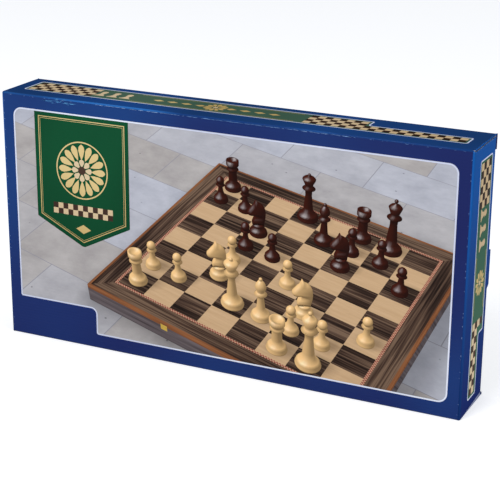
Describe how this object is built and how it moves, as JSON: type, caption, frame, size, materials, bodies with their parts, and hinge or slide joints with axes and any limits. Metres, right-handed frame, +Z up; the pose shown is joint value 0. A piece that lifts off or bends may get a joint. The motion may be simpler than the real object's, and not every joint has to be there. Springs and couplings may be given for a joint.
{
  "type": "boxed folding chess set",
  "caption": "Printed tuck-end carton with hinged end lids and dust flaps, holding a closed folding wooden chess cassette with clasps, hinges and stacked turned chessmen.",
  "frame": {"origin": "middle of the face that the carton stands on, its long narrow side", "axes": "+X along the carton, to the right as its printed front is seen; +Y from the front to the back; +Z up"},
  "size_m": [0.515, 0.07, 0.27],
  "materials": {
    "printed_board": "litho print under gloss varnish on fluted board",
    "plain_board": "unprinted liner of the same fluted board, matt",
    "deck_board": "plywood, sanded",
    "streaky_side_veneer": "grey-brown streaky veneer, satin lacquer",
    "orange_brown_lipping": "solid wood, satin lacquer",
    "dark_streaky_veneer": "dark streaky veneer, satin lacquer",
    "pale_veneer": "pale plain veneer, satin lacquer",
    "rope_inlay": "red and cream twisted-rope inlay, satin lacquer",
    "lining_felt": "green felt",
    "base_felt": "green felt",
    "steel": "drawn wire",
    "light_man_wood": "turned pale wood, gloss lacquer",
    "dark_man_wood": "turned wood, red-brown stain, gloss lacquer",
    "brass": "pressed and polished brass"
  },
  "bodies": {
    "carton_and_cassette": {"front_panel": "printed_board", "top_panel": "printed_board", "back_panel": "printed_board", "bottom_panel": "printed_board", "glue_flap": "plain_board", "front_deck": "deck_board", "front_hinge_rail": "streaky_side_veneer", "front_clasp_rail": "streaky_side_veneer", "front_end_rails": "streaky_side_veneer", "front_lipping": "orange_brown_lipping", "front_border": "dark_streaky_veneer", "front_inlay": "rope_inlay", "front_dark_squares": "dark_streaky_veneer", "front_light_squares": "pale_veneer", "front_felt": "lining_felt", "back_deck": "deck_board", "back_hinge_rail": "streaky_side_veneer", "back_clasp_rail": "streaky_side_veneer", "back_end_rails": "streaky_side_veneer", "back_lipping": "orange_brown_lipping", "back_border": "dark_streaky_veneer", "back_inlay": "rope_inlay", "back_dark_squares": "dark_streaky_veneer", "back_light_squares": "pale_veneer", "back_felt": "lining_felt", "front_hinge_leaves": "brass", "back_hinge_leaves": "brass", "hinge_pins": "steel", "hinge_screws": "brass", "clasp_pivots": "brass", "catch_plates": "brass", "catch_screws": "brass", "light_king": "light_man_wood", "light_queen": "light_man_wood", "light_bishops": "light_man_wood", "light_knights": "light_man_wood", "light_rooks": "light_man_wood", "light_pawns": "light_man_wood", "dark_king": "dark_man_wood", "dark_queen": "dark_man_wood", "dark_bishops": "dark_man_wood", "dark_knights": "dark_man_wood", "dark_rooks": "dark_man_wood", "dark_pawns": "dark_man_wood", "chessmen_felts": "base_felt"},
    "right_lid": {"right_lid": "printed_board"},
    "right_tuck_tongue": {"right_tuck_tongue": "plain_board"},
    "right_upper_dust_flap": {"right_upper_dust_flap": "plain_board"},
    "right_lower_dust_flap": {"right_lower_dust_flap": "plain_board"},
    "left_lid": {"left_lid": "printed_board"},
    "left_tuck_tongue": {"left_tuck_tongue": "plain_board"},
    "left_upper_dust_flap": {"left_upper_dust_flap": "plain_board"},
    "left_lower_dust_flap": {"left_lower_dust_flap": "plain_board"},
    "left_clasp_hook": {"left_clasp_hook": "brass"},
    "right_clasp_hook": {"right_clasp_hook": "brass"}
  },
  "joints": [
    {"name": "right_lid_hinge", "type": "hinge", "parent": "carton_and_cassette", "child": "right_lid", "pos_m": [0.2575, -0.035, 0.135], "axis": [0, 0, -1], "range_deg": [0, 150]},
    {"name": "right_tongue_crease", "type": "hinge", "parent": "right_lid", "child": "right_tuck_tongue", "pos_m": [0.2558, 0.0303, 0.135], "axis": [0, 0, 1], "range_deg": [0, 45]},
    {"name": "right_upper_flap_crease", "type": "hinge", "parent": "carton_and_cassette", "child": "right_upper_dust_flap", "pos_m": [0.2556, 0, 0.27], "axis": [0, -1, 0], "range_deg": [0, 90]},
    {"name": "right_lower_flap_crease", "type": "hinge", "parent": "carton_and_cassette", "child": "right_lower_dust_flap", "pos_m": [0.2556, 0, 0], "axis": [0, 1, 0], "range_deg": [0, 90]},
    {"name": "left_lid_hinge", "type": "hinge", "parent": "carton_and_cassette", "child": "left_lid", "pos_m": [-0.2575, -0.035, 0.135], "axis": [0, 0, 1], "range_deg": [0, 150]},
    {"name": "left_tongue_crease", "type": "hinge", "parent": "left_lid", "child": "left_tuck_tongue", "pos_m": [-0.2558, 0.0303, 0.135], "axis": [0, 0, -1], "range_deg": [0, 45]},
    {"name": "left_upper_flap_crease", "type": "hinge", "parent": "carton_and_cassette", "child": "left_upper_dust_flap", "pos_m": [-0.2556, 0, 0.27], "axis": [0, 1, 0], "range_deg": [0, 90]},
    {"name": "left_lower_flap_crease", "type": "hinge", "parent": "carton_and_cassette", "child": "left_lower_dust_flap", "pos_m": [-0.2556, 0, 0], "axis": [0, -1, 0], "range_deg": [0, 90]},
    {"name": "left_clasp_pivot", "type": "hinge", "parent": "carton_and_cassette", "child": "left_clasp_hook", "pos_m": [-0.15, -0.0111, 0.2556], "axis": [0, 0, -1], "range_deg": [0, 100]},
    {"name": "right_clasp_pivot", "type": "hinge", "parent": "carton_and_cassette", "child": "right_clasp_hook", "pos_m": [0.15, -0.0111, 0.2556], "axis": [0, 0, -1], "range_deg": [0, 100]}
  ],
  "couplings": [
    {"joint": "right_tongue_crease", "follows": "right_lid_hinge", "ratio": 0.3},
    {"joint": "right_upper_flap_crease", "follows": "right_lid_hinge", "ratio": 0.6},
    {"joint": "right_lower_flap_crease", "follows": "right_lid_hinge", "ratio": 0.6},
    {"joint": "left_tongue_crease", "follows": "left_lid_hinge", "ratio": 0.3},
    {"joint": "left_upper_flap_crease", "follows": "left_lid_hinge", "ratio": 0.6},
    {"joint": "left_lower_flap_crease", "follows": "left_lid_hinge", "ratio": 0.6}
  ]
}
